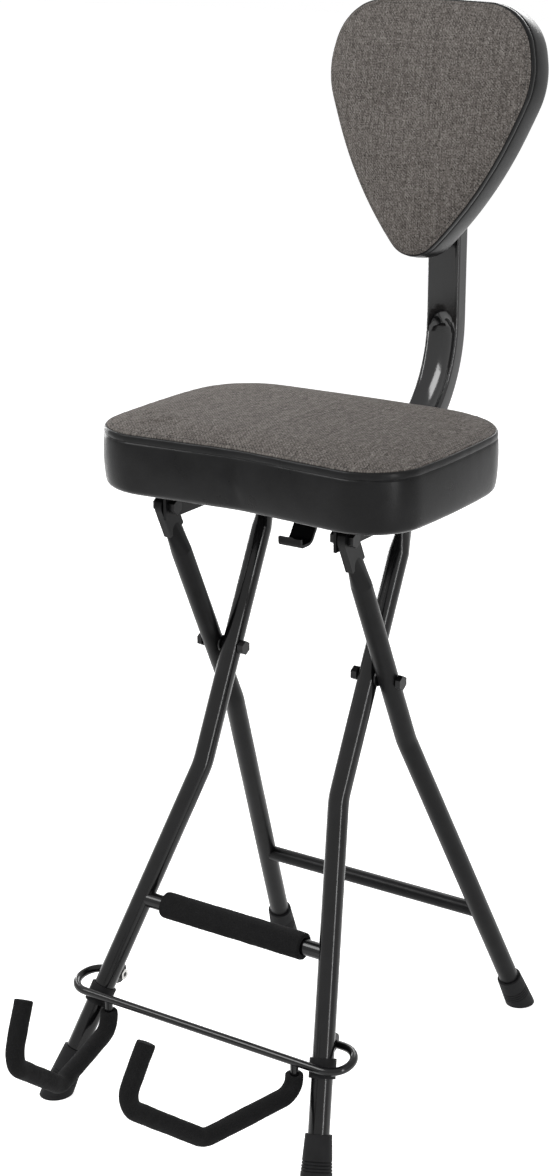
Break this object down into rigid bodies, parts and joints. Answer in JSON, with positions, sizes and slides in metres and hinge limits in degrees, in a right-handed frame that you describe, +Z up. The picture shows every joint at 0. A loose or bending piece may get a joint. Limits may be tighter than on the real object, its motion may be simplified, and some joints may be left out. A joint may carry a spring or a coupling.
{
  "type": "folding guitar stool",
  "caption": "Folding stool with crossed tube legs, padded seat, pick-shaped back pad on a bent post, padded footrest bar and a swing-out guitar cradle.",
  "frame": {"origin": "on the floor, under the middle of the stool's overall box", "axes": "+Z up, -Y towards the sitter's front where the guitar stands, +X across the seat"},
  "size_m": [0.3506, 0.6875, 1.0629],
  "materials": {
    "gloss_black_steel": "gloss",
    "satin_black_steel": "satin",
    "black_foam": "matte",
    "black_rubber": "matte",
    "black_fasteners": "satin",
    "bright_fasteners": "satin",
    "black_plastic": "matte",
    "heather_fabric": "woven",
    "black_vinyl": "soft sheen",
    "dust_cloth": "matte",
    "plywood": "raw",
    "cushion_foam": "matte"
  },
  "bodies": {
    "front_frame": {"front_leg_left": "gloss_black_steel", "front_leg_right": "gloss_black_steel", "front_crossbar": "gloss_black_steel", "crossbar_pad": "black_foam", "front_foot_left": "black_rubber", "front_foot_right": "black_rubber", "leg_collar_left": "black_rubber", "leg_collar_right": "black_rubber", "cradle_lug_left": "gloss_black_steel", "cradle_lug_right": "gloss_black_steel", "pivot_bolts": "black_fasteners", "pivot_nuts": "black_fasteners", "pivot_washers": "black_fasteners", "slider_bolts": "black_fasteners", "slider_nuts": "black_fasteners", "slider_spacers": "black_fasteners", "slider_rollers": "black_plastic"},
    "rear_frame": {"rear_leg_left": "satin_black_steel", "rear_leg_right": "satin_black_steel", "rear_crossbar": "satin_black_steel", "rear_foot_left": "black_rubber", "rear_foot_right": "black_rubber"},
    "seat": {"seat_rail_left": "satin_black_steel", "seat_rail_right": "satin_black_steel", "rail_screws": "bright_fasteners", "seat_hinge_bolts": "black_fasteners", "seat_hinge_nuts": "black_fasteners", "seat_hinge_washers": "black_fasteners", "seat_board": "plywood", "seat_foam": "cushion_foam", "seat_top_panel": "heather_fabric", "seat_side_band": "black_vinyl", "seat_dust_cover": "dust_cloth", "back_post": "gloss_black_steel", "post_socket": "satin_black_steel", "socket_screws": "bright_fasteners", "post_cap_top": "black_plastic", "post_cap_front": "black_plastic", "back_bracket": "satin_black_steel", "bracket_bolts": "black_fasteners", "back_screws": "bright_fasteners", "back_board": "plywood", "back_foam": "cushion_foam", "back_front_panel": "heather_fabric", "back_side_band": "black_vinyl", "back_rear_cover": "dust_cloth", "lever_bracket": "satin_black_steel", "lever_pivot_pin": "bright_fasteners"},
    "lever": {"release_lever": "satin_black_steel"},
    "cradle": {"cradle_bail": "gloss_black_steel", "cradle_nuts": "bright_fasteners", "hook_rod_left": "gloss_black_steel", "hook_rod_right": "gloss_black_steel", "hook_sleeve_left": "black_foam", "hook_sleeve_right": "black_foam"}
  },
  "joints": [
    {"name": "fold", "type": "hinge", "parent": "front_frame", "child": "rear_frame", "pos_m": [0, 0.04575, 0.4357], "axis": [-1, 0, 0], "range_deg": [0, 40]},
    {"name": "seat_tilt", "type": "hinge", "parent": "rear_frame", "child": "seat", "pos_m": [0, -0.03451, 0.6], "axis": [1, 0, 0], "range_deg": [0, 20]},
    {"name": "cradle_swing", "type": "hinge", "parent": "front_frame", "child": "cradle", "pos_m": [0, -0.09369, 0.11154], "axis": [-1, 0, 0], "range_deg": [0, 70]},
    {"name": "lever_press", "type": "hinge", "parent": "seat", "child": "lever", "pos_m": [0, 0.06575, 0.5795], "axis": [-1, 0, 0], "range_deg": [0, 12]}
  ],
  "couplings": [
    {"joint": "seat_tilt", "follows": "fold", "ratio": 0.5}
  ]
}
